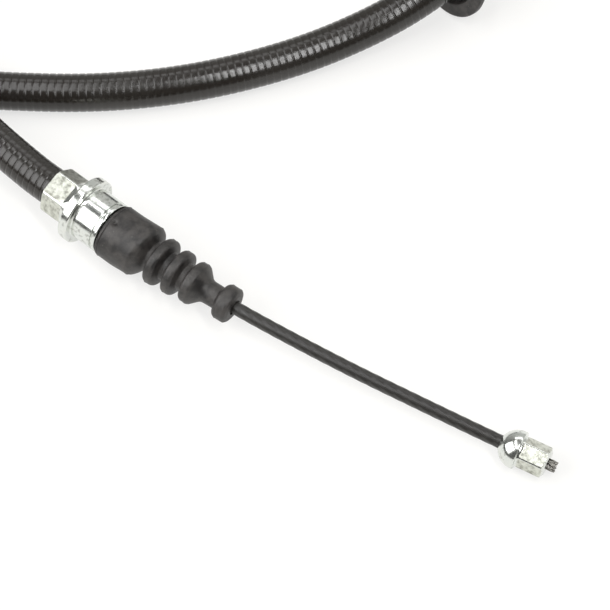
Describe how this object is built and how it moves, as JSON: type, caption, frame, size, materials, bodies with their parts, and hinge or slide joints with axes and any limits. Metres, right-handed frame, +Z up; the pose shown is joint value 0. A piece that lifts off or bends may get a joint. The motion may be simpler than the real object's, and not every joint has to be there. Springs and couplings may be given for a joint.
{
  "type": "parking brake cable",
  "caption": "Parking brake cable in a ribbed conduit, with crimped ferrules, a rubber bellows, an exposed inner wire and a domed nipple.",
  "frame": {"origin": "under the middle of the fittings' box, on the surface that the cable lies on", "axes": "+Z up, +Y from the front nipple's side to the rear end's side, +X to the right"},
  "size_m": [0.2062, 0.3088, 0.0229],
  "materials": {
    "zinc_plate": "bright zinc plate on turned and crimped steel",
    "rubber": "moulded black rubber with a dull bloom",
    "ribbed_plastic": "satin black extruded plastic with shallow ribs",
    "wire_coat": "satin black plastic drawn tight over a twisted strand",
    "strand_steel": "dark drawn steel wire, twisted",
    "spring_steel": "coiled flat spring steel",
    "liner_plastic": "white low-friction plastic"
  },
  "bodies": {
    "sheath": {"conduit_jacket": "ribbed_plastic", "conduit_armour": "spring_steel", "conduit_liner": "liner_plastic", "middle_strand": "strand_steel", "middle_wire_coating": "wire_coat", "front_ferrule": "zinc_plate", "front_guide_tube": "liner_plastic", "front_boot": "rubber", "panel_grommet": "rubber", "hanger_clip": "rubber", "rear_ferrule": "zinc_plate", "rear_guide_tube": "liner_plastic", "rear_seal": "rubber"},
    "front_core": {"front_strand": "strand_steel", "front_wire_coating": "wire_coat", "front_nipple": "zinc_plate"},
    "rear_core": {"rear_strand": "strand_steel", "rear_wire_coating": "wire_coat", "rear_nipple": "zinc_plate"}
  },
  "joints": [
    {"name": "front_pull", "type": "slide", "parent": "sheath", "child": "front_core", "axis": [0.7705, -0.6374, 0], "range_m": [-0.006, 0.012], "deforming": ["front_boot"]},
    {"name": "rear_pull", "type": "slide", "parent": "sheath", "child": "rear_core", "axis": [0.9903, 0.1392, 0], "range_m": [-0.012, 0.006]}
  ],
  "couplings": [
    {"joint": "rear_pull", "follows": "front_pull", "ratio": -1}
  ]
}
